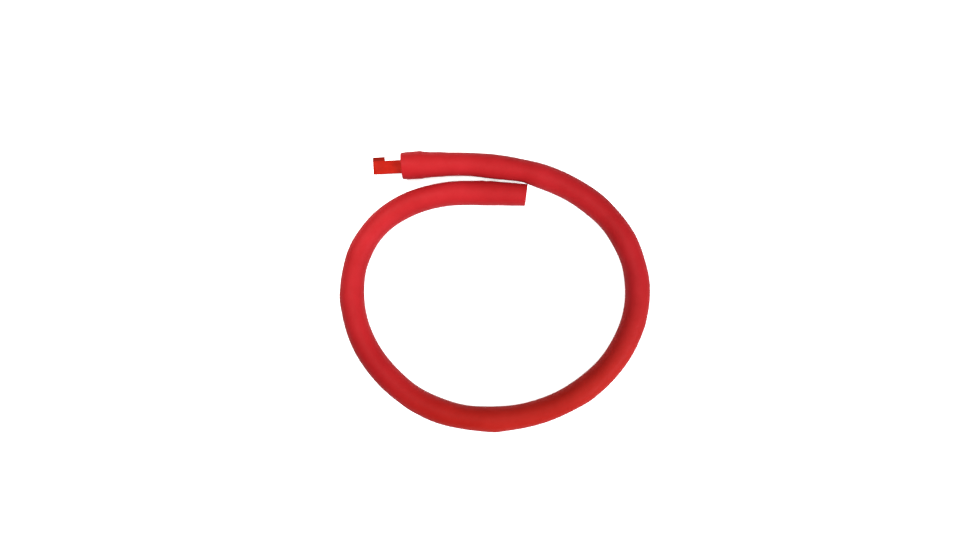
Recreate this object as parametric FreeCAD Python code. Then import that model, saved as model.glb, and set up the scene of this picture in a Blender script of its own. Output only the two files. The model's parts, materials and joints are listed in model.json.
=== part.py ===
import FreeCAD
import Part
import math
import os

# Chain lock: a hardened chain inside a rubber sleeve, with a key-operated socket on one end and a
# notched steel tongue on the other.  It lies on a surface (z = 0) in an open oval whose two ends
# overlap.  Millimetres, +Z up, origin at the middle of the footprint.  Every piece is one STEP file.

V = FreeCAD.Vector
X = V(1, 0, 0)
Y = V(0, 1, 0)
Z = V(0, 0, 1)

# ---------------------------------------------------------------- driving dimensions
SLEEVE_R = 10.3          # outer radius of the sleeve
MOUTH_R = 9.9            # the sleeve is a little thinner at the lock's mouth
MOUTH_L = 19.0           # length over which it thins
SLEEVE_BORE_R = 7.8      # inner radius of the sleeve over the chain
ARC_SHARE = 0.45         # share of the shorter run that a bend takes up

TUBE_Z = SLEEVE_R        # axis height of the sleeve where it lies on the surface
COLLAR_Z = 12.4          # axis height at the thicker tongue end

# Route of the sleeve's axis: corner points of its runs, from the lock mouth to the tongue end.
ROUTE = [
    (27.3, 85.9, TUBE_Z),
    (-14.0, 87.6, TUBE_Z),
    (-44.9, 87.3, TUBE_Z),
    (-78.9, 78.0, TUBE_Z),
    (-106.7, 58.7, TUBE_Z),
    (-124.1, 29.9, TUBE_Z),
    (-128.8, -5.8, TUBE_Z),
    (-120.5, -42.0, TUBE_Z),
    (-100.8, -72.0, TUBE_Z),
    (-73.4, -96.3, TUBE_Z),
    (-40.3, -110.9, TUBE_Z),
    (-3.4, -115.3, TUBE_Z),
    (34.6, -110.3, TUBE_Z),
    (69.9, -95.5, TUBE_Z),
    (100.0, -71.7, TUBE_Z),
    (120.3, -40.4, TUBE_Z),
    (129.2, -3.8, TUBE_Z),
    (122.7, 33.5, TUBE_Z),
    (103.6, 65.0, TUBE_Z),
    (74.8, 88.5, TUBE_Z),
    (40.6, 103.8, TUBE_Z),
    (3.6, 111.8, TUBE_Z),
    (-38.4, 114.0, COLLAR_Z),
    (-83.8, 111.4, COLLAR_Z),
]

# Chain
WIRE_D = 3.8             # wire diameter of a link
LINK_INNER_W = 5.6       # clear width inside a link
LINK_COUNT = 33          # odd, so that both end links lie flat in their forks
LINK_PLAY = 0.3          # play between neighbouring links

# Flexing place, on the right of the oval: one hinge stands for the chain's bending there
FLEX_LINK = 22           # the first link that swings with the tongue end
FLEX_ANGLE = 25.0        # how far the tongue end swings outward, degrees
FLEX_GAP = 0.3

# Tongue
TONGUE_T = 4.4           # thickness of the bar
TONGUE_W = 15.2          # width of its head
TONGUE_SHIFT = 1.3       # the bar sits this much towards the outside of the oval in its anchor
SLOT_SHIFT = 0.1         # and this much in the lock's slot
TONGUE_OUT = 24.4        # how far it stands out of the sleeve
HEAD_L = 10.6            # length of the head in front of the notch
NOTCH_D = 3.6            # the neck and the shank are this much narrower, on the outer edge only
RAMP_D = 1.6             # the head thins by this much, top and bottom, towards its outer edge
LEAD = 1.6               # length of the lead-in at the tip
DOWEL_R = 1.5
DOWEL_X = (-7.0, -13.0)
DOWEL_HALF_L = 8.2
SHANK_L = 17.0           # length held inside the anchor

# Anchor inside the tongue end of the sleeve
ANCHOR_R = 9.6
ANCHOR_L = 32.5
ANCHOR_RECESS = 0.8      # the anchor's face sits this far inside the sleeve
COLLAR_L = 42.0          # length over which the sleeve is stretched by the anchor
COLLAR_LIP_R = 11.7      # outer radius at its lip
COLLAR_OUTLINE = [       # and further in: distance from the lip, outer radius
    (7.0, 12.3),
    (18.0, 12.2),
    (24.0, 11.5),
    (33.0, 11.0),
]
LIP_CHAMFER = 0.8
GRIP_GROOVE_X = (-19.5, -22.5)
GRIP_GROOVE_W = 1.2
GRIP_GROOVE_D = 0.6
TONGUE_PIN_X = -28.0     # chain pin, from the sleeve's end

# Lock housing inside the other end of the sleeve
HOUSING_R = 8.8
HOUSING_L = 54.0
FACE_X = 0.0             # outer face of the face plate, level with the sleeve's end
FACE_T = 1.3
SLOT_PLAY = 0.15         # play of the tongue in its slot, each side
FACE_PLAY = 0.1          # the plate's slot is this much wider again
SLOT_L = 26.5
LOCK_PIN_X = -50.0       # chain pin, from the sleeve's end
COVER_X0 = -46.5         # cover under the mechanism
COVER_X1 = -7.5
COVER_Z = -6.9
CAVITY_X0 = -41.5        # hollow for the lever, and the bay beside it for the cam
CAVITY_X1 = -10.5
CAVITY_Y0 = -4.7
CAVITY_Y1 = 6.6
CAM_BAY_X1 = -27.8
CAM_BAY_Z1 = 6.4
FORK_GAP = 4.4           # gap of the forks that take the end links
FORK_DEPTH = 6.6         # how far a fork is cut beyond its pin
FORK_HALF_W = 7.8
PIN_D = 4.0

# Screws: shank radius, head radius, length
FACE_SCREW = (0.75, 1.4, 6.0)
FACE_SCREW_Z = 5.6
COVER_SCREW = (0.9, 1.7, 5.2)
COVER_SCREW_X = (-44.0, -9.0)
CAM_SCREW = (0.7, 1.3, 2.2)
SCREW_SINK = 0.25        # the cover screws' heads lie this far below the round surface
DRIVE_SLOT_W = 0.4
DRIVE_SLOT_D = 0.35

# Cylinder, across the housing; the keyhole faces the outside of the oval
PLUG_X = -35.0
PLUG_R = 3.96
SHELL_BORE_R = 4.0
SHELL_R = 5.0
SHELL_Y0 = -0.6
SHELL_Y1 = 7.0
PLUG_Y1 = 8.6
KEYHOLE_R = 4.3          # hole in the sleeve over the plug
SHELL_SCREW_R = 1.0
SHELL_SCREW_Y = 3.0
SHELL_SCREW_Z = 4.6      # its tip, just inside the shell's wall
SHELL_SCREW_L = 3.0
KEYWAY_W = 1.6
KEYWAY_H = 5.2
KEYWAY_Y0 = 1.0
WAFER_COUNT = 5
WAFER_T = 0.7
WAFER_STEP = 1.25
WAFER_FIRST = 2.3        # the first wafer's depth below the plug's face
WAFER_W = 3.0
WAFER_LOW = -3.6
WAFER_HIGH = 3.4
WAFER_PLAY = 0.1
WAFER_WINDOW = (0.9, -2.2, 1.6)   # half width, lowest and highest edge
WAFER_CUTS = (0.0, 0.4, 0.8)      # the windows' heights, which the key's cuts match

# Cam on the back of the plug
CAM_R = 3.4
CAM_T = 1.2
CRANK_E = 2.3            # eccentricity of the crank pin
CRANK_R = 0.8
CRANK_L = 2.6

# Latch lever: a rocker under the tongue slot, turning on a cross pin
PIVOT_X = -27.0
PIVOT_Z = -4.4
PIVOT_R = 1.0
PIVOT_HALF_L = 6.9
PIVOT_PLAY = 0.05
BOSS_R = 1.85
LEVER_Y0 = -4.2
LEVER_Y1 = 4.4
TOOTH_Y0 = 4.3
TOOTH_W = 1.8
TAIL_T = 1.9
TAIL_X0 = -40.0
TAIL_LOW = -2.6
TAIL_HIGH = 3.2
WINDOW = (-38.5, -34.6, -1.4, 1.8)   # crank window in the tail: x, then z
LEVER_TOP = -2.5
LEVER_BOTTOM = -3.9
TOOTH_BACK = -14.4       # steep face that catches the head
TOOTH_TIP = -11.4
TOOTH_TOP = -0.4
TOOTH_BOTTOM = -3.4
TOOTH_LAND = 0.8         # flat on top of the tooth, behind its ramp

# Spring between the cover and the lever's plate
SPRING_X = -18.5
SPRING_R = 1.4
SPRING_WIRE_R = 0.25
SPRING_TURNS = 4
SPRING_GAP = 0.35

os.makedirs("parts", exist_ok=True)


# ---------------------------------------------------------------- helpers
def cylinder(radius, start, direction, length):
    return Part.makeCylinder(radius, length, start, direction)


def box(x0, x1, y0, y1, z0, z1):
    return Part.makeBox(x1 - x0, y1 - y0, z1 - z0, V(x0, y0, z0))


def prism(points, direction):
    """A solid pushed along direction from a closed outline of straight edges."""
    wire = Part.makePolygon([V(*p) for p in points] + [V(*points[0])])
    return Part.Face(wire).extrude(direction)


def turned(profile, axis_start, axis):
    """A solid of revolution from a closed outline in a plane through the axis."""
    wire = Part.makePolygon([V(*p) for p in profile] + [V(*profile[0])])
    return Part.Face(wire).revolve(axis_start, axis, 360)


def coil(start, direction, radius, wire_r, length, turns):
    """A coil spring standing on start."""
    helix = Part.makeHelix(length / turns, length, radius)
    section = Part.Wire(Part.makeCircle(wire_r, V(radius, 0, 0), Y))
    spring = Part.Wire(helix).makePipeShell([section], True, True)
    spring.Placement = FreeCAD.Placement(start, FreeCAD.Rotation(Z, direction))
    return spring


def placed(shape, frame):
    """A piece drawn in an end's own frame, moved to that end."""
    result = shape.copy()
    result.Placement = frame.multiply(result.Placement)
    return result


def write(name, shape):
    solids = shape.Solids
    single = solids[0] if len(solids) == 1 else Part.makeCompound(solids)
    single.exportStep("parts/" + name + ".step")


# ---------------------------------------------------------------- route
class Route:
    """Straight runs joined by tangent arcs, addressed by the distance along them."""

    def __init__(self, corners):
        points = [V(*c) for c in corners]
        self.pieces = []
        self.radii = []
        start = points[0]
        for before, corner, after in zip(points, points[1:], points[2:]):
            back = (before - corner).normalize()
            onward = (after - corner).normalize()
            turn = math.pi - back.getAngle(onward)
            reach = ARC_SHARE * min(before.distanceToPoint(corner), after.distanceToPoint(corner))
            radius = reach / math.tan(turn / 2)
            middle = (back + onward).normalize()
            centre = corner + middle * math.hypot(radius, reach)
            first = corner + back * reach
            last = corner + onward * reach
            self.pieces.append(("run", start, first, start.distanceToPoint(first)))
            self.pieces.append(("bend", first, last, radius * turn, centre, radius, turn))
            self.radii.append(radius)
            start = last
        self.pieces.append(("run", start, points[-1], start.distanceToPoint(points[-1])))
        self.length = sum(piece[3] for piece in self.pieces)

    @staticmethod
    def on_piece(piece, share):
        if piece[0] == "run":
            return piece[1] + (piece[2] - piece[1]) * share
        centre, turn = piece[4], piece[6]
        a = (piece[1] - centre) * (math.sin((1 - share) * turn) / math.sin(turn))
        b = (piece[2] - centre) * (math.sin(share * turn) / math.sin(turn))
        return centre + a + b

    def at(self, distance):
        for piece in self.pieces:
            if distance <= piece[3]:
                return self.on_piece(piece, distance / piece[3])
            distance -= piece[3]
        return self.pieces[-1][2]

    def wire(self, begin, end):
        """The stretch of the route from one distance to another, as a wire."""
        edges = []
        passed = 0.0
        for piece in self.pieces:
            low = max(begin - passed, 0.0) / piece[3]
            high = min(end - passed, piece[3]) / piece[3]
            passed += piece[3]
            if high - low < 1e-6:
                continue
            a = self.on_piece(piece, low)
            b = self.on_piece(piece, high)
            if piece[0] == "run":
                edges.append(Part.LineSegment(a, b).toShape())
            else:
                half = self.on_piece(piece, (low + high) / 2)
                edges.append(Part.Arc(a, half, b).toShape())
        return Part.Wire(edges)


def tube(route, begin, end, radius):
    """A round bar along a stretch of the route."""
    path = route.wire(begin, end)
    edge = path.Edges[0]
    start = edge.valueAt(edge.FirstParameter)
    section = Part.Face(Part.Wire(Part.makeCircle(radius, start, edge.tangentAt(edge.FirstParameter))))
    return path.makePipe(section)


def end_frame(tip, inner):
    """Frame of an end: origin in the middle of its face, x pointing out of it, z up."""
    out = (tip - inner).normalize()
    side = Z.cross(out).normalize()
    return FreeCAD.Placement(tip, FreeCAD.Rotation(out, side, Z, "XZY"))


# ---------------------------------------------------------------- chain
def chain_link(pitch, centre, along, flat):
    """One link: wire bent to a long O, lying flat or standing on edge."""
    ring_r = (LINK_INNER_W + WIRE_D) / 2
    half = pitch / 2 - LINK_INNER_W / 2
    corners = [V(-half, -ring_r, 0), V(half, -ring_r, 0), V(half, ring_r, 0), V(-half, ring_r, 0)]
    path = Part.Wire([
        Part.LineSegment(corners[0], corners[1]).toShape(),
        Part.Arc(corners[1], V(half + ring_r, 0, 0), corners[2]).toShape(),
        Part.LineSegment(corners[2], corners[3]).toShape(),
        Part.Arc(corners[3], V(-half - ring_r, 0, 0), corners[0]).toShape(),
    ])
    section = Part.Face(Part.Wire(Part.makeCircle(WIRE_D / 2, corners[0], X)))
    link = path.makePipe(section)
    up = Z if flat else Z.cross(along)
    link.Placement = FreeCAD.Placement(centre, FreeCAD.Rotation(along, V(), up, "XZY"))
    return link


# ---------------------------------------------------------------- sleeve
def collar_outer():
    """Stretched end of the sleeve over the anchor, drawn in the tongue end's frame."""
    outline = [(-x, 0, radius) for x, radius in COLLAR_OUTLINE]
    return turned([
        (0, 0, 0), (0, 0, COLLAR_LIP_R - LIP_CHAMFER), (-LIP_CHAMFER, 0, COLLAR_LIP_R), *outline,
        (-COLLAR_L, 0, SLEEVE_R - 0.02), (-COLLAR_L, 0, 0),
    ], V(), X)


def mouth_trim():
    """What is taken off round the sleeve so that it thins towards the lock's mouth."""
    wide = cylinder(SLEEVE_R + 1, V(1, 0, 0), X * -1, MOUTH_L + 1)
    cone = Part.makeCone(MOUTH_R, SLEEVE_R, MOUTH_L, V(), X * -1)
    return wide.cut(cylinder(MOUTH_R, V(1, 0, 0), X * -1, 1)).cut(cone)


def sleeve_of(route, lock_end, tongue_end, flex_at, pivot):
    """The sleeve's two lengths, which meet at the flexing place in a slit that opens outward."""
    near = tube(route, 0, flex_at, SLEEVE_R).cut(tube(route, 0, flex_at, SLEEVE_BORE_R))
    near = near.cut(placed(cylinder(HOUSING_R, V(1, 0, 0), X * -1, HOUSING_L + 2), lock_end))
    keyhole = cylinder(KEYHOLE_R, V(PLUG_X, 0, 0), Y, 2 * SLEEVE_R)
    near = near.cut(placed(keyhole, lock_end)).cut(placed(mouth_trim(), lock_end))
    far_start = flex_at + FLEX_GAP
    far = tube(route, far_start, route.length, SLEEVE_R).fuse(placed(collar_outer(), tongue_end))
    far = far.cut(tube(route, far_start, route.length, SLEEVE_BORE_R))
    far = far.cut(placed(cylinder(ANCHOR_R, V(1, 0, 0), X * -1, ANCHOR_L + 2), tongue_end))
    along = (route.at(flex_at + 1) - route.at(flex_at)).normalize()
    outward = along.cross(Z)
    lean = math.radians(FLEX_ANGLE + 3)
    slope = outward * math.cos(lean) + along * math.sin(lean)
    reach = 2 * SLEEVE_R
    foot = pivot - Z * reach
    back = along * -FORK_DEPTH
    slit = Part.Face(Part.makePolygon([
        foot, foot + slope * reach, foot + outward * reach + back, foot + back, foot,
    ])).extrude(Z * (2 * reach))
    return near, far.cut(slit)


# ---------------------------------------------------------------- tongue end (frame: x out, y inward)
def edge_y():
    """Outer and inner edge of the tongue's head; the outer side is -y in this frame."""
    return -TONGUE_W / 2 - TONGUE_SHIFT, TONGUE_W / 2 - TONGUE_SHIFT


def tongue():
    outer, inner = edge_y()
    neck = outer + NOTCH_D
    notch = TONGUE_OUT - HEAD_L
    half = TONGUE_T / 2
    beyond = TONGUE_T
    bar = prism([
        (-SHANK_L, neck, -half), (notch, neck, -half), (notch, outer, -half),
        (TONGUE_OUT, outer, -half), (TONGUE_OUT, inner, -half), (-SHANK_L, inner, -half),
    ], Z * TONGUE_T)
    for side in (1, -1):
        lead_in = prism([
            (TONGUE_OUT, outer, side * (half - LEAD / 2)), (TONGUE_OUT, outer, side * beyond),
            (TONGUE_OUT - LEAD, outer, side * beyond), (TONGUE_OUT - LEAD, outer, side * half),
        ], Y * TONGUE_W)
        ramp = prism([
            (notch, outer, side * (half - RAMP_D)), (notch, outer, side * beyond),
            (notch, neck, side * beyond), (notch, neck, side * half),
        ], X * HEAD_L)
        bar = bar.cut(lead_in).cut(ramp)
    return bar.cut(tongue_dowels())


def tongue_dowels():
    return Part.makeCompound([
        cylinder(DOWEL_R, V(x, 0, -DOWEL_HALF_L), Z, 2 * DOWEL_HALF_L) for x in DOWEL_X
    ])


def tongue_anchor():
    outer, inner = edge_y()
    body = cylinder(ANCHOR_R, V(-ANCHOR_RECESS, 0, 0), X * -1, ANCHOR_L - ANCHOR_RECESS)
    body = body.cut(box(-SHANK_L, 1, outer + NOTCH_D, inner, -TONGUE_T / 2, TONGUE_T / 2))
    fork = FORK_GAP / 2
    body = body.cut(box(-ANCHOR_L - 1, TONGUE_PIN_X + FORK_DEPTH, -FORK_HALF_W, FORK_HALF_W, -fork, fork))
    body = body.cut(tongue_dowels())
    body = body.cut(cylinder(PIN_D / 2, V(TONGUE_PIN_X, 0, -ANCHOR_R), Z, 2 * ANCHOR_R))
    for x in GRIP_GROOVE_X:
        outside = cylinder(ANCHOR_R + 1, V(x, 0, 0), X, GRIP_GROOVE_W)
        core = cylinder(ANCHOR_R - GRIP_GROOVE_D, V(x, 0, 0), X, GRIP_GROOVE_W)
        body = body.cut(outside.cut(core))
    return body


def chain_pin(x, radius):
    half = math.sqrt(radius ** 2 - (PIN_D / 2) ** 2) - 0.1
    return cylinder(PIN_D / 2, V(x, 0, -half), Z, 2 * half)


# ---------------------------------------------------------------- lock end (frame: x out, y outward)
def slot_box(x0, x1, play):
    """Where the tongue goes in."""
    return box(x0, x1, -TONGUE_W / 2 + SLOT_SHIFT - play, TONGUE_W / 2 + SLOT_SHIFT + play,
               -TONGUE_T / 2 - play, TONGUE_T / 2 + play)


def countersunk(place, direction, shank_r, head_r, length):
    """A countersunk screw with its head's face at place, pointing along direction."""
    head_h = head_r - shank_r
    head = Part.makeCone(head_r, shank_r, head_h, place, direction)
    return head.fuse(cylinder(shank_r, place, direction, length)).removeSplitter()


def screw_with_slot(place, direction, across, shank_r, head_r, length):
    screw = countersunk(place, direction, shank_r, head_r, length)
    frame = FreeCAD.Placement(place, FreeCAD.Rotation(across, V(), direction, "ZXY"))
    half = DRIVE_SLOT_W / 2
    return screw.cut(placed(box(-head_r, head_r, -half, half, -1, DRIVE_SLOT_D), frame))


def face_screws(slotted):
    places = [V(FACE_X, 0, z) for z in (FACE_SCREW_Z, -FACE_SCREW_Z)]
    if slotted:
        return [screw_with_slot(p, X * -1, Y, *FACE_SCREW) for p in places]
    return [countersunk(p, X * -1, *FACE_SCREW) for p in places]


def face_plate():
    plate = cylinder(HOUSING_R, V(FACE_X, 0, 0), X * -1, FACE_T)
    plate = plate.cut(slot_box(-2 * FACE_T, 1, SLOT_PLAY + FACE_PLAY))
    for screw in face_screws(False):
        plate = plate.cut(screw)
    return plate


def cover_screws(slotted):
    places = [V(x, 0, SCREW_SINK - HOUSING_R) for x in COVER_SCREW_X]
    if slotted:
        return [screw_with_slot(p, Z, X, *COVER_SCREW) for p in places]
    return [countersunk(p, Z, *COVER_SCREW) for p in places]


def housing_cover():
    round_bar = cylinder(HOUSING_R, V(COVER_X0, 0, 0), X, COVER_X1 - COVER_X0)
    wide = HOUSING_R + 1
    cover = round_bar.common(box(COVER_X0, COVER_X1, -wide, wide, -wide, COVER_Z))
    for screw in cover_screws(False):
        cover = cover.cut(screw)
    for x in COVER_SCREW_X:
        cover = cover.cut(cylinder(COVER_SCREW[1], V(x, 0, -wide), Z, 1 + SCREW_SINK))
    return cover


def pivot_pin():
    return cylinder(PIVOT_R, V(PIVOT_X, -PIVOT_HALF_L, PIVOT_Z), Y, 2 * PIVOT_HALF_L)


def shell_screw_hole(length):
    return cylinder(SHELL_SCREW_R, V(PLUG_X, SHELL_SCREW_Y, SHELL_SCREW_Z), Z, length)


def shell_screw():
    top = SHELL_SCREW_Z + SHELL_SCREW_L
    half = DRIVE_SLOT_W / 2
    slot = box(PLUG_X - SHELL_SCREW_R, PLUG_X + SHELL_SCREW_R, SHELL_SCREW_Y - half,
               SHELL_SCREW_Y + half, top - DRIVE_SLOT_D, top)
    return shell_screw_hole(SHELL_SCREW_L).cut(slot)


def lock_housing():
    start = FACE_X - FACE_T
    body = cylinder(HOUSING_R, V(start, 0, 0), X * -1, HOUSING_L + start)
    wide = HOUSING_R + 1
    body = body.cut(slot_box(-SLOT_L, 1, SLOT_PLAY))
    body = body.cut(box(CAVITY_X0, CAVITY_X1, CAVITY_Y0, CAVITY_Y1, -wide, -TONGUE_T / 2))
    body = body.cut(box(CAVITY_X0, CAM_BAY_X1, CAVITY_Y0, SHELL_Y0, -TONGUE_T, CAM_BAY_Z1))
    body = body.cut(box(COVER_X0, COVER_X1, -wide, wide, -wide, COVER_Z))
    fork = FORK_GAP / 2
    body = body.cut(box(-HOUSING_L - 1, LOCK_PIN_X + FORK_DEPTH, -FORK_HALF_W, FORK_HALF_W, -fork, fork))
    body = body.cut(cylinder(SHELL_R, V(PLUG_X, SHELL_Y0, 0), Y, wide))
    body = body.cut(cylinder(PIN_D / 2, V(LOCK_PIN_X, 0, -wide), Z, 2 * wide))
    body = body.cut(pivot_pin())
    body = body.cut(shell_screw_hole(wide))
    for screw in face_screws(False) + cover_screws(False):
        body = body.cut(screw)
    return body


def cylinder_shell():
    shell = cylinder(SHELL_R, V(PLUG_X, SHELL_Y0, 0), Y, SHELL_Y1 - SHELL_Y0)
    shell = shell.cut(cylinder(SHELL_BORE_R, V(PLUG_X, SHELL_Y0, 0), Y, HOUSING_R))
    return shell.cut(shell_screw_hole(SHELL_SCREW_L))


def wafer_y(index):
    return PLUG_Y1 - WAFER_FIRST - index * WAFER_STEP


def key_plug():
    plug = cylinder(PLUG_R, V(PLUG_X, SHELL_Y0, 0), Y, PLUG_Y1 - SHELL_Y0)
    half = KEYWAY_W / 2
    plug = plug.cut(box(PLUG_X - half, PLUG_X + half, KEYWAY_Y0, PLUG_Y1, -KEYWAY_H / 2, KEYWAY_H / 2))
    half = WAFER_W / 2 + WAFER_PLAY
    thick = WAFER_T / 2 + WAFER_PLAY
    for i in range(WAFER_COUNT):
        y = wafer_y(i)
        plug = plug.cut(box(PLUG_X - half, PLUG_X + half, y - thick, y + thick, -SHELL_R, SHELL_R))
    return plug.cut(cam_screw_plain())


def wafer_tumblers():
    wafers = []
    half = WAFER_W / 2
    hole_half, hole_low, hole_high = WAFER_WINDOW
    for i in range(WAFER_COUNT):
        y0 = wafer_y(i) - WAFER_T / 2
        y1 = y0 + WAFER_T
        rise = WAFER_CUTS[i % len(WAFER_CUTS)]
        wafer = box(PLUG_X - half, PLUG_X + half, y0, y1, WAFER_LOW, WAFER_HIGH)
        window = box(PLUG_X - hole_half, PLUG_X + hole_half, y0, y1, hole_low + rise, hole_high + rise)
        wafers.append(wafer.cut(window))
    return Part.makeCompound(wafers)


def cam():
    disc = cylinder(CAM_R, V(PLUG_X, SHELL_Y0 - CAM_T, 0), Y, CAM_T)
    crank = cylinder(CRANK_R, V(PLUG_X - CRANK_E, SHELL_Y0 - CAM_T - CRANK_L, 0), Y, CRANK_L + CAM_T)
    return disc.fuse(crank).removeSplitter().cut(cam_screw_plain())


def cam_screw_plain():
    return countersunk(V(PLUG_X, SHELL_Y0 - CAM_T, 0), Y, *CAM_SCREW)


def cam_screw():
    return screw_with_slot(V(PLUG_X, SHELL_Y0 - CAM_T, 0), Y, X, *CAM_SCREW)


def latch_lever():
    """Plate under the slot, a ramped tooth at its front and an upright tail with a crank window."""
    plate = box(PIVOT_X, TOOTH_TIP, LEVER_Y0, LEVER_Y1, LEVER_BOTTOM, LEVER_TOP)
    tooth = prism([
        (TOOTH_BACK, TOOTH_Y0, TOOTH_BOTTOM), (TOOTH_TIP, TOOTH_Y0, TOOTH_BOTTOM),
        (TOOTH_TIP, TOOTH_Y0, LEVER_TOP), (TOOTH_BACK + TOOTH_LAND, TOOTH_Y0, TOOTH_TOP),
        (TOOTH_BACK, TOOTH_Y0, TOOTH_TOP),
    ], Y * TOOTH_W)
    boss = cylinder(BOSS_R, V(PIVOT_X, LEVER_Y0, PIVOT_Z), Y, LEVER_Y1 - LEVER_Y0)
    foot = PIVOT_Z - BOSS_R * 0.7
    tail = prism([
        (PIVOT_X, LEVER_Y0, foot), (PIVOT_X - 2 * BOSS_R, LEVER_Y0, foot), (TAIL_X0, LEVER_Y0, TAIL_LOW),
        (TAIL_X0, LEVER_Y0, TAIL_HIGH), (WINDOW[1] + 1.2, LEVER_Y0, TAIL_HIGH),
        (PIVOT_X - 1.4 * BOSS_R, LEVER_Y0, LEVER_TOP), (PIVOT_X, LEVER_Y0, LEVER_TOP),
    ], Y * TAIL_T)
    lever = plate.fuse([tooth, boss, tail]).removeSplitter()
    x0, x1, z0, z1 = WINDOW
    lever = lever.cut(box(x0, x1, LEVER_Y0, LEVER_Y0 + TAIL_T, z0, z1))
    hole = cylinder(PIVOT_R + PIVOT_PLAY, V(PIVOT_X, LEVER_Y0, PIVOT_Z), Y, LEVER_Y1 - LEVER_Y0)
    return lever.cut(hole)


def latch_spring():
    low = COVER_Z + SPRING_GAP
    length = LEVER_BOTTOM - SPRING_GAP - low
    return coil(V(SPRING_X, 0, low), Z, SPRING_R, SPRING_WIRE_R, length, SPRING_TURNS)


# ---------------------------------------------------------------- assembly
def main():
    route = Route(ROUTE)
    print("bend radii, mm:", [round(r, 1) for r in route.radii])
    print("route length, mm:", round(route.length, 1))
    corners = [V(*c) for c in ROUTE]
    lock_end = end_frame(corners[0], corners[1])
    tongue_end = end_frame(corners[-1], corners[-2])

    crown = WIRE_D / 2 + LINK_PLAY / 2
    first = -LOCK_PIN_X - crown
    last = route.length + TONGUE_PIN_X + crown
    step = (last - first) / LINK_COUNT
    pitch = step + LINK_PLAY
    for i in range(LINK_COUNT):
        a = route.at(first + i * step) if i else lock_end.multVec(V(-first, 0, 0))
        b = route.at(first + (i + 1) * step)
        along = (b - a).normalize()
        centre = (a + b) / 2
        write("chain_link_%02d" % (i + 1), chain_link(pitch, centre, along, i % 2 == 0))
        if i + 1 == FLEX_LINK:
            pivot = centre - along * (pitch / 2 + WIRE_D / 2)
    print("link pitch, mm:", round(pitch, 2))
    print("flex pivot, mm:", [round(c, 3) for c in pivot])

    flex_at = first + (FLEX_LINK - 1) * step - crown
    near, far = sleeve_of(route, lock_end, tongue_end, flex_at, pivot)
    write("sleeve_lock_leg", near)
    write("sleeve_tongue_leg", far)
    ring = math.pi * (SLEEVE_R ** 2 - SLEEVE_BORE_R ** 2)
    print("sleeve volumes / section x length:", round((near.Volume + far.Volume) / (ring * route.length), 3))

    for name, shape in (
        ("tongue", tongue()),
        ("tongue_dowels", tongue_dowels()),
        ("tongue_anchor", tongue_anchor()),
        ("tongue_chain_pin", chain_pin(TONGUE_PIN_X, ANCHOR_R)),
    ):
        write(name, placed(shape, tongue_end))
    for name, shape in (
        ("lock_face_plate", face_plate()),
        ("face_plate_screws", Part.makeCompound(face_screws(True))),
        ("lock_housing", lock_housing()),
        ("housing_cover", housing_cover()),
        ("cover_screws", Part.makeCompound(cover_screws(True))),
        ("lock_chain_pin", chain_pin(LOCK_PIN_X, HOUSING_R)),
        ("cylinder_shell", cylinder_shell()),
        ("shell_screw", shell_screw()),
        ("key_plug", key_plug()),
        ("wafer_tumblers", wafer_tumblers()),
        ("plug_cam", cam()),
        ("cam_screw", cam_screw()),
        ("latch_lever", latch_lever()),
        ("latch_pivot_pin", pivot_pin()),
        ("latch_spring", latch_spring()),
    ):
        write(name, placed(shape, lock_end))
    for label, x, z in (("plug axis", PLUG_X, 0), ("lever axis", PIVOT_X, PIVOT_Z)):
        point = lock_end.multVec(V(x, 0, z))
        axis = lock_end.Rotation.multVec(Y)
        print(label, [round(c, 4) for c in point], [round(c, 6) for c in axis])


main()
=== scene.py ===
import bisect
import json
import math

import bmesh
import bpy
from mathutils import Matrix, Vector, noise
from mathutils.kdtree import KDTree

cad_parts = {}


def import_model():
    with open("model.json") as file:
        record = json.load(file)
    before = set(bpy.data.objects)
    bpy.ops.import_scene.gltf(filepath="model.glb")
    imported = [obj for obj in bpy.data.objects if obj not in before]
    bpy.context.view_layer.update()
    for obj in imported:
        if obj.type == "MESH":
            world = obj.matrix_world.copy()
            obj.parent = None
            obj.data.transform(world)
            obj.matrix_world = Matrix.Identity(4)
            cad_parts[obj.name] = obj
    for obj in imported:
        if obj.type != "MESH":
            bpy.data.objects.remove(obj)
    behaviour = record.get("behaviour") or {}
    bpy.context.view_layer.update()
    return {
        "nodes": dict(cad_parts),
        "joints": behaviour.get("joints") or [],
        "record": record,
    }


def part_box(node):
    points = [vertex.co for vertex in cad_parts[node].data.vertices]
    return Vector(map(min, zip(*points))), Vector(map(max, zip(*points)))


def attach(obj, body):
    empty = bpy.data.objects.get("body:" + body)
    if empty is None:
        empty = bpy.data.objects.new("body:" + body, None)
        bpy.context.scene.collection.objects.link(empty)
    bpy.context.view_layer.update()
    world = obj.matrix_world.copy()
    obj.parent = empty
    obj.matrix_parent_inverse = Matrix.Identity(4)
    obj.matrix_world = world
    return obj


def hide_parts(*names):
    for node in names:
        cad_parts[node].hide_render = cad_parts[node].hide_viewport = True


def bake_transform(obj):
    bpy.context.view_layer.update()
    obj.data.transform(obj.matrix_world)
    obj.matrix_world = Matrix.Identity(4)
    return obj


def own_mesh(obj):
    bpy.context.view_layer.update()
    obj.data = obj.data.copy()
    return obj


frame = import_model()

# A chain lock as it lies open on a table. The rubber sleeve, the tongue and the latch spring get finer
# pieces here, and every other node keeps its CAD shape and gets its material.

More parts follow.
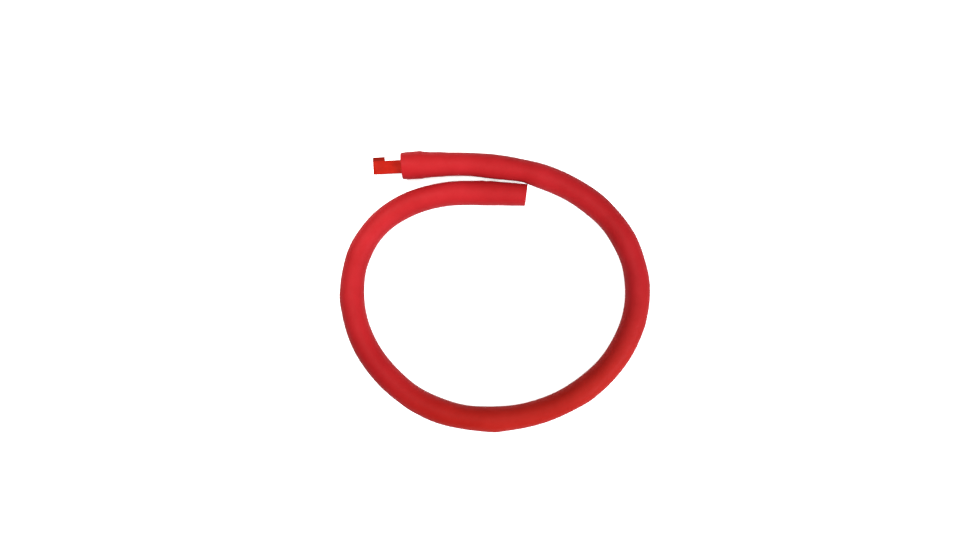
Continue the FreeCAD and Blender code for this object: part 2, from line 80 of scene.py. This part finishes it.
# ---------------------------------------------------------------- dimensions, metres
MM = 0.001
SLEEVE_R = 10.3 * MM      # nominal; SKIN below gives how it varies
BORE_R = 7.8 * MM
LIP_R = 0.8 * MM          # rounding of the sleeve's two ends, outside
BORE_LIP_R = 0.12 * MM    # and at the bore; at the mouth the wall is only 1.1 mm thick
LOCK_BORE_R = 8.82 * MM   # the sleeve over the lock housing
LOCK_BORE_L = 55 * MM
ANCHOR_BORE_R = 9.63 * MM  # the sleeve over the tongue's anchor
ANCHOR_BORE_L = 33.5 * MM
BORE_STEP_L = 2 * MM      # length over which the bore steps down behind them
STRAIGHT_EASE_L = 6 * MM  # and over which it leaves their straight axes
KEYHOLE_R = 4.3 * MM
KEYHOLE_BACK = 35 * MM    # middle of the keyhole, from the mouth
KEYHOLE_OUT = 10 * MM     # middle of its cut, from the sleeve's axis
KEYHOLE_DEPTH = 6 * MM
TUBE_Z = SLEEVE_R         # height of the sleeve's axis
COLLAR_Z = 12.4 * MM      # and at the thicker tongue end
LOCK_PIN = 50 * MM        # the chain's two pins, from the sleeve's ends
TONGUE_PIN = 28 * MM
LINK_PAST_PIN = 2.05 * MM  # an end link reaches this far past its pin
LINK_COUNT = 33
FLEX_SPREAD = 60 * MM     # length of sleeve taken on each side of the hinge
AROUND = 72               # corners round the sleeve
RING_STEP = 1.6 * MM      # and the spacing of its rings

# Outer radius of the sleeve, mm, at a distance from the lock mouth, mm
SKIN = [
    (0, 9.9), (18, 10.35), (38, 10.85), (60, 10.8), (85, 10.85), (112, 10.75), (130, 10.7),
    (150, 10.35), (170, 10.7), (185, 10.5), (212, 10.85), (240, 10.8), (275, 11.1), (310, 10.8),
    (340, 11.15), (366, 10.9), (395, 11.2), (442, 10.85), (480, 11.2), (530, 11.1), (575, 11.0),
    (593, 11.15), (612, 10.7), (632, 11.0), (655, 10.85), (675, 11.15), (700, 11.1), (725, 11.0),
    (748, 10.5), (810, 10.45),
]
# The same over the anchor, at a distance from the tongue end
COLLAR = [(0, 11.7), (6.5, 12.25), (17, 12.3), (23, 11.6), (28, 11.2), (34, 11.0), (44, 10.45)]
MOUTH_LEAN = 0.085        # the skin's cut at the lock mouth is not quite square
MOUTH_LEAN_L = 12 * MM
TIP_LEAN = 0.030          # nor is the lip at the tongue,
TIP_LEAN_L = 8 * MM
TIP_BACK = 0.5 * MM       # which has crept back a little
# Where the skin stands out over a link's end (first row) or towards the other leg, and where it is drawn
# in to clear the lip at the lock mouth (last): distance from the lock mouth, height and half width, mm,
# and the side (1 the loop's outside, -1 its inside)
SWELLS = [
    (210, 0.45, 7, 1), (320, 0.35, 7, 1), (394, 0.6, 7, 1), (478, 0.35, 7, 1), (555, 0.4, 7, 1),
    (34, 0.65, 13, 1), (771, 0.8, 15, -1), (741, -0.75, 9, -1),
]

ANCHOR_BUMP = (17.0, 0.3, 3.0)  # the anchor's edge: from the tongue end, height and half width, mm
LINK_SWELL = 0.10 * MM    # a link widens the sleeve this much along its own plane
UNEVEN = 0.10 * MM        # the skin's own unevenness
UNEVEN_ALONG = 22.0       # how quickly it changes, per metre of length
UNEVEN_ROUND = 0.9        # and round the sleeve

# Corner points of the route of the sleeve's axis, from the lock mouth to the tongue end
ROUTE = [
    (0.0273, 0.0859, TUBE_Z),
    (-0.0140, 0.0876, TUBE_Z),
    (-0.0449, 0.0873, TUBE_Z),
    (-0.0789, 0.0780, TUBE_Z),
    (-0.1067, 0.0587, TUBE_Z),
    (-0.1241, 0.0299, TUBE_Z),
    (-0.1288, -0.0058, TUBE_Z),
    (-0.1205, -0.0420, TUBE_Z),
    (-0.1008, -0.0720, TUBE_Z),
    (-0.0734, -0.0963, TUBE_Z),
    (-0.0403, -0.1109, TUBE_Z),
    (-0.0034, -0.1153, TUBE_Z),
    (0.0346, -0.1103, TUBE_Z),
    (0.0699, -0.0955, TUBE_Z),
    (0.1000, -0.0717, TUBE_Z),
    (0.1203, -0.0404, TUBE_Z),
    (0.1292, -0.0038, TUBE_Z),
    (0.1227, 0.0335, TUBE_Z),
    (0.1036, 0.0650, TUBE_Z),
    (0.0748, 0.0885, TUBE_Z),
    (0.0406, 0.1038, TUBE_Z),
    (0.0036, 0.1118, TUBE_Z),
    (-0.0384, 0.1140, COLLAR_Z),
    (-0.0838, 0.1114, COLLAR_Z),
]

UP = Vector((0, 0, 1))


# ---------------------------------------------------------------- small helpers
def smooth(t):
    t = min(max(t, 0.0), 1.0)
    return t * t * (3 - 2 * t)


def new_object(name, mesh):
    obj = bpy.data.objects.new(name, mesh)
    bpy.context.scene.collection.objects.link(obj)
    return obj


def apply_modifiers(obj):
    """Gives the object the mesh that its modifiers make, and leaves it none."""
    graph = bpy.context.evaluated_depsgraph_get()
    mesh = bpy.data.meshes.new_from_object(obj.evaluated_get(graph))
    obj.modifiers.clear()
    obj.data = mesh


def shade_smooth(mesh, angle):
    for polygon in mesh.polygons:
        polygon.use_smooth = True
    mesh.set_sharp_from_angle(angle=math.radians(angle))


def outward_normals(mesh):
    bm = bmesh.new()
    bm.from_mesh(mesh)
    bmesh.ops.recalc_face_normals(bm, faces=bm.faces)
    bm.to_mesh(mesh)
    bm.free()


def joint(name):
    return next(j for j in frame["joints"] if j["name"] == name)


# ---------------------------------------------------------------- the route as a smooth line
class Line:
    """The route's NURBS line, addressed by the distance along it."""

    def __init__(self, corners):
        curve = bpy.data.curves.new("sleeve_route", "CURVE")
        curve.dimensions = "3D"
        curve.resolution_u = 48
        spline = curve.splines.new("NURBS")
        spline.points.add(len(corners) - 1)
        for point, corner in zip(spline.points, corners):
            point.co = (*corner, 1.0)
        spline.order_u = 3
        spline.use_endpoint_u = True
        holder = new_object("sleeve_route", curve)
        bpy.context.view_layer.update()
        mesh = bpy.data.meshes.new_from_object(holder)
        self.points = [v.co.copy() for v in mesh.vertices]
        bpy.data.objects.remove(holder)
        self.stations = [0.0]
        for a, b in zip(self.points, self.points[1:]):
            self.stations.append(self.stations[-1] + (b - a).length)
        self.length = self.stations[-1]

    def at(self, distance):
        """Point and direction at a distance; past either end it goes straight on."""
        i = bisect.bisect_right(self.stations, distance) - 1
        i = min(max(i, 0), len(self.points) - 2)
        a, b = self.points[i], self.points[i + 1]
        share = (distance - self.stations[i]) / (self.stations[i + 1] - self.stations[i])
        return a.lerp(b, share), (b - a).normalized()

    def axes(self, distance, reach=0.004):
        """Point, direction and the level direction to the outside of the loop."""
        before = self.at(max(distance - reach, 0.0))[0]
        after = self.at(min(distance + reach, self.length))[0]
        along = (after - before).normalized()
        return self.at(distance)[0], along, along.cross(UP).normalized()


line = Line(ROUTE)
corners = [Vector(c) for c in ROUTE]


def end_frame(tip, inner):
    """Frame of an end: origin in the middle of its face, x out of it, z up."""
    out = (tip - inner).normalized()
    side = UP.cross(out).normalized()
    matrix = Matrix((out, side, out.cross(side))).transposed().to_4x4()
    matrix.translation = tip
    return matrix


lock_end = end_frame(corners[0], corners[1])
tongue_end = end_frame(corners[-1], corners[-2])


# ---------------------------------------------------------------- materials
class Nodes:
    """Small helper for building a material's node tree."""

    def __init__(self, name):
        self.material = bpy.data.materials.new(name)
        self.material.use_nodes = True
        self.tree = self.material.node_tree
        self.shader = self.tree.nodes["Principled BSDF"]
        self.coords = self.tree.nodes.new("ShaderNodeTexCoord").outputs["Object"]

    def set(self, **sockets):
        for name, value in sockets.items():
            self.shader.inputs[name.replace("_", " ")].default_value = value

    def link(self, output, socket):
        self.tree.links.new(output, socket)

    def mapped(self, scale, rotation=(0, 0, 0)):
        mapping = self.tree.nodes.new("ShaderNodeMapping")
        mapping.inputs["Scale"].default_value = scale
        mapping.inputs["Rotation"].default_value = rotation
        self.link(self.coords, mapping.inputs["Vector"])
        return mapping.outputs["Vector"]

    def noise(self, scale, detail=3.0, rough=0.55, vector=None):
        texture = self.tree.nodes.new("ShaderNodeTexNoise")
        texture.inputs["Scale"].default_value = scale
        texture.inputs["Detail"].default_value = detail
        texture.inputs["Roughness"].default_value = rough
        self.link(vector or self.coords, texture.inputs["Vector"])
        return texture.outputs["Fac"]

    def ramp(self, value, stops):
        ramp = self.tree.nodes.new("ShaderNodeValToRGB")
        elements = ramp.color_ramp.elements
        while len(elements) < len(stops):
            elements.new(0.5)
        for element, (place, colour) in zip(elements, stops):
            element.position = place
            element.color = (*colour, 1.0)
        self.link(value, ramp.inputs["Fac"])
        return ramp.outputs["Color"]

    def spread(self, value, low, high):
        """The value's middle range, moved to low..high."""
        remap = self.tree.nodes.new("ShaderNodeMapRange")
        remap.inputs["From Min"].default_value = 0.3
        remap.inputs["From Max"].default_value = 0.7
        remap.inputs["To Min"].default_value = low
        remap.inputs["To Max"].default_value = high
        self.link(value, remap.inputs["Value"])
        return remap.outputs["Result"]

    def mix(self, share, a, b):
        mix = self.tree.nodes.new("ShaderNodeMix")
        mix.data_type = "RGBA"
        self.link(share, mix.inputs[0])
        self.link(a, mix.inputs[6])
        self.link(b, mix.inputs[7])
        return mix.outputs[2]

    def across_loop(self, direction, start, end):
        """0 to 1 from start to end along a direction, in metres from the middle of the loop."""
        along = self.tree.nodes.new("ShaderNodeVectorMath")
        along.operation = "DOT_PRODUCT"
        along.inputs[1].default_value = direction
        self.link(self.coords, along.inputs[0])
        remap = self.tree.nodes.new("ShaderNodeMapRange")
        remap.interpolation_type = "SMOOTHSTEP"
        remap.inputs["From Min"].default_value = start
        remap.inputs["From Max"].default_value = end
        self.link(along.outputs["Value"], remap.inputs["Value"])
        return remap.outputs["Result"]

    def bump(self, height, distance, strength=1.0, normal=None):
        bump = self.tree.nodes.new("ShaderNodeBump")
        bump.inputs["Strength"].default_value = strength
        bump.inputs["Distance"].default_value = distance
        self.link(height, bump.inputs["Height"])
        if normal is not None:
            self.link(normal, bump.inputs["Normal"])
        return bump.outputs["Normal"]


def sleeve_rubber():
    """Red satin silicone rubber: fine grain, faint handling marks, a little unevenness of colour, and a
    painted light tint that is pinker over most of the loop and warmer towards its bottom side.
    """
    n = Nodes("sleeve_rubber")
    n.set(IOR=1.45, Specular_IOR_Level=0.05)
    broad = n.noise(28.0, 4.0, 0.6)
    # painted light tint: the pinker red stands in for the cool lamps' light over most of the loop, the
    # warmer red for the loop's bottom side, mixed by place below
    painted_cool_tint = n.ramp(broad, [
        (0.30, (0.186, 0.0046, 0.0056)),
        (0.50, (0.205, 0.0057, 0.0070)),
        (0.72, (0.224, 0.0070, 0.0090)),
    ])
    painted_warm_tint = n.ramp(broad, [
        (0.30, (0.184, 0.0044, 0.0023)),
        (0.50, (0.203, 0.0058, 0.0032)),
        (0.72, (0.219, 0.0074, 0.0046)),
    ])
    n.link(n.mix(n.across_loop((0.35, -1.0, 0.0), 0.02, 0.13), painted_cool_tint, painted_warm_tint), n.shader.inputs["Base Color"])
    scuffs = n.noise(260.0, 5.0, 0.7)
    n.link(n.spread(scuffs, 0.50, 0.66), n.shader.inputs["Roughness"])
    grain = n.noise(3200.0, 2.0, 0.5)
    waves = n.noise(75.0, 2.0, 0.4)
    lumps = n.bump(waves, 0.0012, 0.35)
    n.link(n.bump(grain, 0.00006, 0.55, lumps), n.shader.inputs["Normal"])
    return n.material


def tongue_paint():
    """Orange-red coating on the steel tongue, glossier than the sleeve, with a mottled tone and a fine
    grain.
    """
    n = Nodes("tongue_paint")
    n.set(IOR=1.5, Specular_IOR_Level=0.02)
    mottled = n.noise(190.0, 5.0, 0.65)
    paint = n.ramp(mottled, [
        (0.28, (0.160, 0.0036, 0.0010)),
        (0.50, (0.190, 0.0046, 0.0013)),
        (0.74, (0.210, 0.0066, 0.0022)),
    ])
    # darker red: painted shade for the head's outer strip
    painted_shade = n.ramp(mottled, [(0.3, (0.098, 0.0030, 0.0010)), (0.7, (0.125, 0.0044, 0.0016))])
    # painted shade: the ramped strip along the head's outer edge is darker, where it slopes away from the
    # light
    outward = -tongue_end.col[1].xyz
    edge = tongue_end.translation.dot(outward)
    shade_strip = n.across_loop(outward, edge + 5.2 * MM, edge + 5.6 * MM)
    n.link(n.mix(shade_strip, paint, painted_shade), n.shader.inputs["Base Color"])
    n.link(n.spread(n.noise(420.0, 4.0), 0.40, 0.56), n.shader.inputs["Roughness"])
    skin = n.noise(900.0, 3.0, 0.5)
    n.link(n.bump(skin, 0.00010, 0.5), n.shader.inputs["Normal"])
    return n.material


def metal(name, dark, light, rough, grain, stretch=(1, 1, 1), turn=(0, 0, 0), depth=0.00004):
    """A bare metal: fine grain, stretched where it is brushed or drawn, and uneven shine."""
    n = Nodes(name)
    n.set(Metallic=1.0)
    vector = n.mapped(stretch, turn)
    lines = n.noise(grain, 4.0, 0.65, vector)
    stains = n.noise(110.0, 3.0, 0.6)
    n.link(n.ramp(stains, [(0.3, dark), (0.7, light)]), n.shader.inputs["Base Color"])
    n.link(n.spread(lines, rough - 0.08, rough + 0.10), n.shader.inputs["Roughness"])
    n.link(n.bump(lines, depth, 0.6), n.shader.inputs["Normal"])
    return n.material


def all_materials():
    steel_dark, steel_light = (0.16, 0.16, 0.17), (0.27, 0.27, 0.28)
    across = (0, 0, math.radians(-3))
    return {
        "sleeve_rubber": sleeve_rubber(),
        "tongue_paint": tongue_paint(),
        "anchor_steel": metal("anchor_steel", steel_dark, steel_light, 0.38, 900, (1, 0.05, 1), across),
        "pin_steel": metal("pin_steel", (0.42, 0.42, 0.43), (0.58, 0.58, 0.59), 0.28, 1500),
        "face_steel": metal("face_steel", (0.20, 0.20, 0.21), (0.33, 0.33, 0.34), 0.36, 1300,
                            (1, 1, 0.04)),
        "screw_steel": metal("screw_steel", (0.12, 0.12, 0.13), (0.22, 0.22, 0.23), 0.34, 1600),
        "housing_zinc": metal("housing_zinc", (0.33, 0.33, 0.34), (0.45, 0.45, 0.46), 0.52, 1100,
                              depth=0.00008),
        "brass": metal("brass", (0.62, 0.42, 0.16), (0.76, 0.56, 0.27), 0.30, 1400, (1, 0.05, 1), across),
        "cam_steel": metal("cam_steel", (0.36, 0.35, 0.33), (0.50, 0.49, 0.46), 0.40, 1200,
                           (0.06, 1, 1)),
        "spring_steel": metal("spring_steel", (0.40, 0.40, 0.42), (0.55, 0.55, 0.57), 0.26, 2200),
        "chain_steel": metal("chain_steel", (0.27, 0.27, 0.28), (0.40, 0.40, 0.42), 0.40, 800,
                             depth=0.00007),
    }


materials = all_materials()


def finish_with(obj, slot):
    """The object wears the slot's material, and only that."""
    obj.data.materials.clear()
    obj.data.materials.append(materials[slot])


slot_of = {part["node"]: part["material_slot"] for part in frame["record"]["subparts"]}
for node_name, node in frame["nodes"].items():
    node.data.materials.clear()
    node.data.materials.append(materials[slot_of[node_name]])


# ---------------------------------------------------------------- the sleeve
# where the chain begins and ends along the sleeve, and the length that each link takes up
CHAIN_FIRST = LOCK_PIN - LINK_PAST_PIN
CHAIN_LAST = line.length - TONGUE_PIN + LINK_PAST_PIN
CHAIN_STEP = (CHAIN_LAST - CHAIN_FIRST) / LINK_COUNT


def between(table, place):
    """A value read from a table of (place, value) in mm, gliding from one to the next; metres."""
    place /= MM
    for (a, low), (b, high) in zip(table, table[1:]):
        if place <= b:
            return (low + (high - low) * smooth((place - a) / (b - a))) * MM
    return table[-1][1] * MM


def mean_radius(s):
    """Outer radius at s along the sleeve, before its unevenness."""
    from_tip = line.length - s
    return between(COLLAR, from_tip) if from_tip < COLLAR[-1][0] * MM else between(SKIN, s)


def outer_radius(s, angle):
    """Outer radius at s along the sleeve; angle 0 faces the outside of the loop."""
    radius = mean_radius(s)
    for at, height, width, side in SWELLS:
        facing = max(side * math.cos(angle), 0.0)
        radius += height * MM * facing * math.exp(-((s / MM - at) / width) ** 2)
    facing = max(math.cos(angle), 0.0)
    from_tip = line.length - s
    at, height, width = ANCHOR_BUMP
    radius += height * MM * facing ** 2 * math.exp(-((from_tip / MM - at) / width) ** 2)
    if CHAIN_FIRST < s < CHAIN_LAST:
        # links lying flat widen the sleeve, links on edge make it taller
        links = math.sin(math.pi * (s - CHAIN_FIRST) / CHAIN_STEP)
        radius += LINK_SWELL * links * math.cos(2 * angle)
    place = Vector((s * UNEVEN_ALONG, math.cos(angle) * UNEVEN_ROUND, math.sin(angle) * UNEVEN_ROUND))
    return radius + UNEVEN * noise.noise(place)


def straight_share(s):
    """How much the bore at s follows the straight part held inside an end."""
    near = 1 - smooth((s - LOCK_BORE_L) / STRAIGHT_EASE_L)
    far = 1 - smooth((line.length - s - ANCHOR_BORE_L) / STRAIGHT_EASE_L)
    return near, far


def bore_radius(s):
    """Inner radius at s: wide over the housing and the anchor, narrower over the chain."""
    near = 1 - smooth((s - LOCK_BORE_L) / BORE_STEP_L)
    far = 1 - smooth((line.length - s - ANCHOR_BORE_L) / BORE_STEP_L)
    return BORE_R + (LOCK_BORE_R - BORE_R) * near + (ANCHOR_BORE_R - BORE_R) * far


def sleeve_rings():
    """Rings round the sleeve's whole skin, outside and then back inside.

    Each is (s, radius at an angle, whether it is inside).
    """
    total = line.length
    rounding = [math.radians(a) for a in (0, 18, 36, 54, 72, 90)]

    def outer(s, cut):
        return s, (lambda angle: outer_radius(s, angle) - cut), False

    def inner(s, add):
        return s, (lambda angle: bore_radius(s) + add), True

    rings = []
    for a in rounding:
        rings.append(outer(LIP_R * (1 - math.cos(a)), LIP_R * (1 - math.sin(a))))
    count = round((total - 2 * LIP_R) / RING_STEP)
    for i in range(1, count):
        rings.append(outer(LIP_R + (total - 2 * LIP_R) * i / count, 0.0))
    for a in reversed(rounding):
        rings.append(outer(total - LIP_R * (1 - math.cos(a)), LIP_R * (1 - math.sin(a))))
    for a in rounding:
        rings.append(inner(total - BORE_LIP_R * (1 - math.cos(a)), BORE_LIP_R * (1 - math.sin(a))))
    for i in range(count - 1, 0, -1):
        rings.append(inner(BORE_LIP_R + (total - 2 * BORE_LIP_R) * i / count, 0.0))
    for a in reversed(rounding):
        rings.append(inner(BORE_LIP_R * (1 - math.cos(a)), BORE_LIP_R * (1 - math.sin(a))))
    return rings


def lean(s, angle, radius):
    """How far a point of the skin's ends is moved back along the sleeve.

    The mouth reaches further on its outer side, and the lip at the tongue draws back on its inner.
    """
    near = 1 - smooth(s / MOUTH_LEAN_L)
    far = 1 - smooth((line.length - s) / TIP_LEAN_L)
    across = radius * math.cos(angle)
    return near * MOUTH_LEAN * (radius + across) + far * (TIP_BACK + TIP_LEAN * (radius - across))


def ring_axes(s, inside):
    """Middle, onward, outward and upward direction of a ring."""
    middle, along, outward = line.axes(s)
    if inside:
        near, far = straight_share(s)
        middle = middle.lerp(lock_end @ Vector((-s, 0, 0)), near)
        middle = middle.lerp(tongue_end @ Vector((s - line.length, 0, 0)), far)
    else:
        # the sleeve lies on the floor, however thick it is
        middle.z = max(middle.z, mean_radius(s))
    above = outward.cross(along).normalized()
    return middle, along, outward, above if above.z > 0 else -above


def make_sleeve():
    """The sleeve's closed mesh, and each vertex's place with its distance along the sleeve."""
    rings = sleeve_rings()
    vertices = []
    for s, radius, inside in rings:
        middle, along, outward, above = ring_axes(s, inside)
        for k in range(AROUND):
            angle = 2 * math.pi * k / AROUND
            r = radius(angle)
            point = middle + outward * (r * math.cos(angle)) + above * (r * math.sin(angle))
            point -= along * lean(s, angle, r)
            point.z = max(point.z, 0.0)
            vertices.append(point)
    faces = []
    for i in range(len(rings)):
        j = (i + 1) % len(rings)
        for k in range(AROUND):
            m = (k + 1) % AROUND
            faces.append((i * AROUND + k, i * AROUND + m, j * AROUND + m, j * AROUND + k))
    mesh = bpy.data.meshes.new("rubber_sleeve")
    mesh.from_pydata(vertices, [], faces)
    outward_normals(mesh)
    places = KDTree(len(vertices))
    for i, vertex in enumerate(vertices):
        places.insert(vertex, i)
    places.balance()
    stations = [rings[i // AROUND][0] for i in range(len(vertices))]
    return new_object("rubber_sleeve", mesh), places, stations


def cut_keyhole(sleeve):
    """Opens the sleeve over the key plug."""
    bpy.ops.mesh.primitive_cylinder_add(vertices=64, radius=KEYHOLE_R, depth=KEYHOLE_DEPTH)
    cutter = bpy.context.active_object
    turn = Matrix.Rotation(math.radians(-90), 4, "X")
    cutter.matrix_world = lock_end @ Matrix.Translation((-KEYHOLE_BACK, KEYHOLE_OUT, 0)) @ turn
    boolean = sleeve.modifiers.new("keyhole", "BOOLEAN")
    boolean.operation = "DIFFERENCE"
    boolean.solver = "EXACT"
    boolean.object = cutter
    apply_modifiers(sleeve)
    bpy.data.objects.remove(cutter)


def bend_weights(sleeve, places, stations):
    """Reads each point's distance along the sleeve, near the tongue's hinge; no point is made to follow
    the tongue's leg.
    """
    hinge = Vector(joint("tongue_leg_flex")["pos_m"])
    flex_at = min(zip(line.points, line.stations), key=lambda p: (p[0] - hinge).length)[1]
    start = line.at(flex_at - FLEX_SPREAD)[0]
    end = line.at(flex_at + FLEX_SPREAD)[0]
    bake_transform(sleeve)
    # the legs pass close by each other, so a point's distance along the sleeve is read from its ring
    for vertex in sleeve.data.vertices:
        s = stations[places.find(vertex.co)[1]]


def rubber_sleeve():
    sleeve, places, stations = make_sleeve()
    cut_keyhole(sleeve)
    shade_smooth(sleeve.data, 40)
    finish_with(sleeve, "sleeve_rubber")
    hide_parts("sleeve_lock_leg", "sleeve_tongue_leg")
    bend_weights(sleeve, places, stations)


rubber_sleeve()


# ---------------------------------------------------------------- the tongue
def softened_copy(node, name, width, segments):
    """A copy of a CAD node's mesh with its sharp edges rounded off."""
    mesh = frame["nodes"][node].data.copy()
    mesh.name = name
    bm = bmesh.new()
    bm.from_mesh(mesh)
    bmesh.ops.remove_doubles(bm, verts=bm.verts, dist=0.001 * MM)
    bmesh.ops.dissolve_limit(bm, angle_limit=math.radians(0.5), verts=bm.verts, edges=bm.edges)
    sharp = [e for e in bm.edges if e.calc_face_angle(0) > math.radians(25)]
    bmesh.ops.bevel(bm, geom=sharp, offset=width, segments=segments, profile=0.5, affect="EDGES",
                    clamp_overlap=True)
    bm.to_mesh(mesh)
    bm.free()
    return new_object(name, mesh)


def tongue_bar():
    bar = softened_copy("tongue", "tongue_bar", 0.35 * MM, 3)
    shade_smooth(bar.data, 40)
    finish_with(bar, "tongue_paint")
    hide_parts("tongue")
    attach(bar, "tongue_leg")


tongue_bar()


# ---------------------------------------------------------------- the latch spring
def coil_spring(name, node, wire_r, turns, closed_turns):
    """A compression spring with its end turns closed, as large as the CAD node."""
    low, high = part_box(node)
    middle = (low + high) / 2
    coil_r = (high.x - low.x) / 2 - wire_r
    bottom, top = low.z + wire_r, high.z - wire_r
    steps = 24
    total = turns + 2 * closed_turns
    path = []
    for i in range(round(total * steps) + 1):
        turn = i / steps
        open_share = min(max((turn - closed_turns) / turns, 0.0), 1.0)
        closed = 2 * wire_r * min(turn, closed_turns)
        closed_above = 2 * wire_r * max(turn - closed_turns - turns, 0.0)
        rise = (top - bottom) - 4 * wire_r * closed_turns
        z = bottom + closed + rise * open_share + closed_above
        angle = 2 * math.pi * turn
        path.append(Vector((middle.x + coil_r * math.cos(angle), middle.y + coil_r * math.sin(angle), z)))
    obj = new_object(name, tube_mesh(name, path, wire_r, 10))
    shade_smooth(obj.data, 60)
    finish_with(obj, "spring_steel")
    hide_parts(node)
    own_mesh(obj)
    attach(obj, "lock_end")


def tube_mesh(name, path, radius, around):
    """A closed round tube along the path, with flat ends."""
    bm = bmesh.new()
    rings = []
    for i, point in enumerate(path):
        before, after = path[max(i - 1, 0)], path[min(i + 1, len(path) - 1)]
        along = (after - before).normalized()
        side = along.cross(UP).normalized()
        above = side.cross(along)
        ring = []
        for k in range(around):
            angle = 2 * math.pi * k / around
            ring.append(bm.verts.new(point + radius * (side * math.cos(angle) + above * math.sin(angle))))
        rings.append(ring)
    for a, b in zip(rings, rings[1:]):
        for k in range(around):
            m = (k + 1) % around
            bm.faces.new((a[k], a[m], b[m], b[k]))
    bm.faces.new(rings[0])
    bm.faces.new(rings[-1])
    bmesh.ops.recalc_face_normals(bm, faces=bm.faces)
    mesh = bpy.data.meshes.new(name)
    bm.to_mesh(mesh)
    bm.free()
    return mesh


coil_spring("latch_coil", "latch_spring", 0.17 * MM, 3, 1)


# ---------------------------------------------------------------- stage, lights, camera
def floor():
    half = 12.0
    z = -0.05 * MM            # just under the lock, so that the two faces don't coincide
    mesh = bpy.data.meshes.new("studio_floor")
    edge = [(-half, -half, z), (half, -half, z), (half, half, z), (-half, half, z)]
    mesh.from_pydata(edge, [], [(0, 1, 2, 3)])
    obj = new_object("studio_floor", mesh)
    n = Nodes("studio_paper")
    n.set(Base_Color=(0.72, 0.72, 0.72, 1), Roughness=0.9, Specular_IOR_Level=0.1)
    # the paper is lit from below as well, so it stays white beside the lock
    n.set(Emission_Color=(1.0, 1.0, 1.0, 1), Emission_Strength=0.5)
    obj.data.materials.append(n.material)


def area_light(name, place, target, size, power, colour):
    light = bpy.data.lights.new(name, "AREA")
    light.shape = "DISK"
    light.size = size
    light.energy = power
    light.color = colour
    obj = new_object(name, light)
    obj.location = place
    aim = Vector(target) - Vector(place)
    obj.rotation_euler = aim.to_track_quat("-Z", "Y").to_euler()


def spot_light(name, place, target, cone, size, power, colour):
    """A soft-edged spot: full in the middle of its cone, nothing at its rim."""
    light = bpy.data.lights.new(name, "SPOT")
    light.spot_size = math.radians(cone)
    light.spot_blend = 1.0
    light.shadow_soft_size = size
    light.energy = power
    light.color = colour
    obj = new_object(name, light)
    obj.location = place
    aim = Vector(target) - Vector(place)
    obj.rotation_euler = aim.to_track_quat("-Z", "Y").to_euler()


def world(colour, strength, brighter_towards):
    """A soft room, a little brighter on one side."""
    sky = bpy.data.worlds.new("studio")
    sky.use_nodes = True
    tree = sky.node_tree
    background = tree.nodes["Background"]
    background.inputs["Color"].default_value = (*colour, 1)
    direction = tree.nodes.new("ShaderNodeTexCoord").outputs["Generated"]
    side = tree.nodes.new("ShaderNodeVectorMath")
    side.operation = "DOT_PRODUCT"
    side.inputs[1].default_value = brighter_towards
    tree.links.new(direction, side.inputs[0])
    level = tree.nodes.new("ShaderNodeMath")
    level.operation = "MULTIPLY_ADD"
    level.inputs[1].default_value = strength
    level.inputs[2].default_value = strength
    tree.links.new(side.outputs["Value"], level.inputs[0])
    tree.links.new(level.outputs["Value"], background.inputs["Strength"])
    bpy.context.scene.world = sky


def camera():
    data = bpy.data.cameras.new("camera")
    data.sensor_width = 36
    data.lens = 36 * CAMERA_HEIGHT / VIEW_WIDTH
    data.clip_start = 0.01
    obj = new_object("camera", data)
    obj.location = (*VIEW_CENTRE, TUBE_Z + CAMERA_HEIGHT)
    bpy.context.scene.camera = obj


CAMERA_HEIGHT = 0.9       # above the sleeve's axis, looking straight down
VIEW_WIDTH = 0.873        # seen at the height of the sleeve's axis
VIEW_CENTRE = (-0.0052, 0.0144)

floor()
camera()
area_light("key_low_right", place=(1.2, -0.88, 1.15), target=(0, 0, 0), size=0.9, power=67,
           colour=(0.93, 0.97, 1.1))
area_light("top_soft", place=(0, 0, 1.6), target=(0, 0, 0), size=0.7, power=22,
           colour=(1.0, 1.0, 0.95))
spot_light("fill_upper_left", place=(-0.45, 0.40, 0.80), target=(-0.10, 0.10, 0), cone=27, size=0.12,
           power=65, colour=(1.0, 1.0, 1.0))
world(colour=(0.98, 0.99, 1.0), strength=0.22, brighter_towards=(0.53, -0.38, 0.0))
bpy.context.scene.view_settings.view_transform = "Standard"
